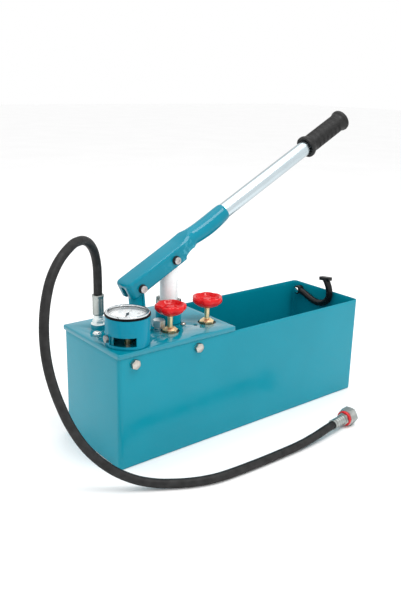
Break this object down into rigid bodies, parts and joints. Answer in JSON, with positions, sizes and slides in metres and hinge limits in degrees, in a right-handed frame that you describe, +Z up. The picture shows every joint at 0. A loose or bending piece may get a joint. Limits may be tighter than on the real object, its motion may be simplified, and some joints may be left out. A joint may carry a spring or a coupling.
{
  "type": "hydrostatic test pump",
  "caption": "Hand-lever hydrostatic test pump on an open sheet-steel water tank, with a pressure gauge, two red-knobbed valves, a lever hook and a pressure hose.",
  "frame": {"origin": "centre of the tank's flat underside", "axes": "+X along the tank to the hook's end, +Z up, -Y out of the front wall"},
  "size_m": [0.6326, 0.2779, 0.4948],
  "materials": {
    "tank_paint": "glossy teal enamel",
    "lid_paint": "glossy teal enamel",
    "pump_paint": "glossy teal enamel",
    "zinc_bolts": "bright zinc plate",
    "zinc_fittings": "zinc plate",
    "cast_block": "as cast, painted",
    "brass_parts": "turned brass",
    "steel_balls": "stainless steel",
    "white_plastic": "white acetal rod",
    "red_knobs": "moulded red",
    "seal_rubber": "black rubber",
    "grip_rubber": "black ribbed rubber",
    "hose_rubber": "black smooth cover",
    "red_ring": "red rubber",
    "gauge_steel": "pressed steel",
    "gauge_chrome": "chrome plate",
    "gauge_glass": "clear",
    "gauge_dial": "white dial with plain marks",
    "gauge_needle": "black",
    "black_steel": "black"
  },
  "bodies": {
    "pump_frame": {"tank_shell": "tank_paint", "lid_plate": "lid_paint", "lid_bolt_front_left": "zinc_bolts", "lid_bolt_front_right": "zinc_bolts", "lid_bolt_back_left": "zinc_bolts", "lid_bolt_back_right": "zinc_bolts", "block_screw": "zinc_bolts", "block_dome_screw": "zinc_bolts", "manifold_block": "cast_block", "pump_head": "pump_paint", "gland_nut": "zinc_fittings", "plunger_seal": "seal_rubber", "pump_cylinder": "brass_parts", "foot_valve_body": "brass_parts", "suction_strainer": "brass_parts", "delivery_spring": "steel_balls", "delivery_plug": "zinc_fittings", "test_valve_gland": "brass_parts", "release_valve_gland": "brass_parts", "gauge_housing": "pump_paint", "housing_screw": "zinc_bolts", "gauge_gasket": "seal_rubber", "gauge_case": "gauge_steel", "gauge_bezel": "gauge_chrome", "gauge_glass": "gauge_glass", "gauge_dial": "gauge_dial", "gauge_movement": "brass_parts", "bourdon_tube": "brass_parts", "gauge_stem": "brass_parts", "link_bracket": "pump_paint", "bracket_screw_left": "zinc_bolts", "bracket_screw_right": "zinc_bolts", "link_pin": "zinc_bolts", "hook_pin": "zinc_bolts", "hose_adapter": "zinc_fittings", "pump_ferrule": "zinc_fittings", "hose": "hose_rubber", "end_ferrule": "zinc_fittings", "hose_tail": "zinc_fittings", "seal_ring": "red_ring"},
    "link": {"fulcrum_link": "pump_paint"},
    "lever": {"lever_channel": "pump_paint", "lever_tube": "zinc_fittings", "lever_grip": "grip_rubber", "pivot_bolt": "zinc_bolts", "pivot_nut": "zinc_bolts", "piston_bolt": "zinc_bolts", "piston_nut": "zinc_bolts"},
    "piston": {"plunger": "white_plastic"},
    "suction_valve": {"suction_ball": "steel_balls"},
    "delivery_valve": {"delivery_ball": "steel_balls"},
    "test_valve": {"test_valve_stem": "brass_parts", "test_valve_knob": "red_knobs"},
    "release_valve": {"release_valve_stem": "brass_parts", "release_valve_knob": "red_knobs"},
    "needle": {"gauge_needle": "gauge_needle"},
    "lever_hook": {"hook": "black_steel"},
    "swivel": {"swivel_nut": "zinc_fittings"}
  },
  "joints": [
    {"name": "link_swing", "type": "hinge", "parent": "pump_frame", "child": "link", "pos_m": [-0.166, 0, 0.1955], "axis": [0, 1, 0], "range_deg": [-16.2, 9]},
    {"name": "lever_swing", "type": "hinge", "parent": "link", "child": "lever", "pos_m": [-0.1711, 0, 0.24524], "axis": [0, -1, 0], "range_deg": [-45.3, 25.2]},
    {"name": "plunger_slide", "type": "slide", "parent": "pump_frame", "child": "piston", "axis": [0, 0, 1], "range_m": [-0.0344, 0.0192]},
    {"name": "suction_ball_lift", "type": "slide", "parent": "pump_frame", "child": "suction_valve", "axis": [0, 0, 1], "range_m": [0, 0.005]},
    {"name": "delivery_ball_lift", "type": "slide", "parent": "pump_frame", "child": "delivery_valve", "axis": [0, 0, 1], "range_m": [0, 0.002], "stiffness_N_per_m": 60, "springref_m": -0.002, "deforming": ["delivery_spring"]},
    {"name": "test_valve_turn", "type": "hinge", "parent": "pump_frame", "child": "test_valve", "pos_m": [-0.1334, -0.0366, 0.2], "axis": [0, 0, 1], "range_deg": [0, 720]},
    {"name": "release_valve_turn", "type": "hinge", "parent": "pump_frame", "child": "release_valve", "pos_m": [-0.0631, -0.0366, 0.2], "axis": [0, 0, 1], "range_deg": [0, 720]},
    {"name": "needle_turn", "type": "hinge", "parent": "pump_frame", "child": "needle", "pos_m": [-0.2135, -0.044, 0.221], "axis": [0, 0, -1], "range_deg": [0, 270], "stiffness_Nm_per_rad": 0.0005, "springref_deg": -11.46},
    {"name": "hook_swing", "type": "hinge", "parent": "pump_frame", "child": "lever_hook", "pos_m": [0.242, 0.0592, 0.157], "axis": [1, 0, 0], "range_deg": [-35, 80]},
    {"name": "swivel_turn", "type": "hinge", "parent": "pump_frame", "child": "swivel", "pos_m": [0.0863, -0.179, 0.0139], "axis": [0.9903, 0.1392, 0], "continuous": true}
  ],
  "couplings": [
    {"joint": "link_swing", "follows": "lever_swing", "ratio": 0.356},
    {"joint": "plunger_slide", "follows": "lever_swing", "m_per_rad": 0.04335}
  ]
}
